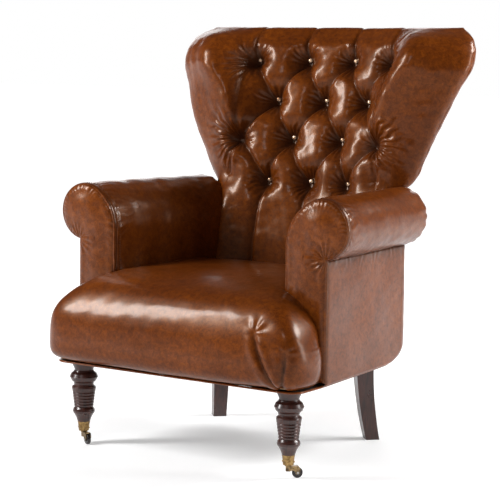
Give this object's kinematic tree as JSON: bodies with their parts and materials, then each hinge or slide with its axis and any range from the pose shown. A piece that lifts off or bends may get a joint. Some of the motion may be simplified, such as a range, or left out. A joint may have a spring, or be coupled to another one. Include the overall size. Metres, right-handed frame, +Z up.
{
  "type": "upholstered armchair",
  "caption": "Leather armchair with a button-back, curved wings, scroll arms, tight bull-nose seat, turned front legs on brass swivel casters and sabre rear legs.",
  "frame": {"origin": "bottom centre of the whole chair's box, on the floor", "axes": "+Z up, the chair faces -Y, +X is its right side seen from in front"},
  "size_m": [0.86, 0.794, 1.017],
  "materials": {
    "leather": "waxed, glossy",
    "button": "glossy",
    "dark_wood": "polished",
    "frame_wood": "sawn",
    "brass": "polished",
    "steel": "satin",
    "wheel": "gloss",
    "foam": "soft",
    "cloth": "woven",
    "board": "matte",
    "twine": "waxed"
  },
  "bodies": {
    "chair": {"back_buttons": "button", "back_pad": "foam", "back_top_pad": "foam", "back_webbing": "cloth", "bottom_welt": "leather", "button_twines": "twine", "caster_screws": "brass", "corner_blocks": "frame_wood", "dust_cover": "cloth", "front_seat_rail": "frame_wood", "inside_back_cover": "leather", "left_arm_facing": "leather", "left_arm_post": "frame_wood", "left_arm_rail": "frame_wood", "left_arm_roll_pad": "foam", "left_back_upright": "frame_wood", "left_caster_cup": "brass", "left_facing_board": "frame_wood", "left_front_leg": "dark_wood", "left_inside_arm_cover": "leather", "left_inside_arm_pad": "foam", "left_outside_arm_cover": "leather", "left_outside_arm_lining": "board", "left_rear_leg": "dark_wood", "left_seat_rail": "frame_wood", "left_wing_board": "frame_wood", "left_wing_pad": "foam", "leg_bolts": "steel", "lumbar_rail": "frame_wood", "outside_back_cover": "leather", "rear_seat_rail": "frame_wood", "right_arm_facing": "leather", "right_arm_post": "frame_wood", "right_arm_rail": "frame_wood", "right_arm_roll_pad": "foam", "right_back_upright": "frame_wood", "right_caster_cup": "brass", "right_facing_board": "frame_wood", "right_front_leg": "dark_wood", "right_inside_arm_cover": "leather", "right_inside_arm_pad": "foam", "right_outside_arm_cover": "leather", "right_outside_arm_lining": "board", "right_rear_leg": "dark_wood", "right_seat_rail": "frame_wood", "right_wing_board": "frame_wood", "right_wing_pad": "foam", "seat_cover": "leather", "seat_pad": "foam", "seat_springs": "steel", "spring_clips": "steel", "spring_cloth": "cloth", "top_back_rail": "frame_wood"},
    "left_caster": {"left_caster_horn": "brass", "left_caster_axle": "steel"},
    "left_wheel": {"left_caster_wheel": "wheel"},
    "right_caster": {"right_caster_horn": "brass", "right_caster_axle": "steel"},
    "right_wheel": {"right_caster_wheel": "wheel"}
  },
  "joints": [
    {"name": "left_caster_swivel", "type": "hinge", "parent": "chair", "child": "left_caster", "pos_m": [-0.3, -0.309, 0.036], "axis": [0, 0, 1], "continuous": true},
    {"name": "left_wheel_spin", "type": "hinge", "parent": "left_caster", "child": "left_wheel", "pos_m": [-0.28097, -0.31788, 0.0125], "axis": [0.4226, 0.9063, 0], "continuous": true},
    {"name": "right_caster_swivel", "type": "hinge", "parent": "chair", "child": "right_caster", "pos_m": [0.3, -0.309, 0.036], "axis": [0, 0, 1], "continuous": true},
    {"name": "right_wheel_spin", "type": "hinge", "parent": "right_caster", "child": "right_wheel", "pos_m": [0.31485, -0.29415, 0.0125], "axis": [-0.7071, 0.7071, 0], "continuous": true}
  ]
}
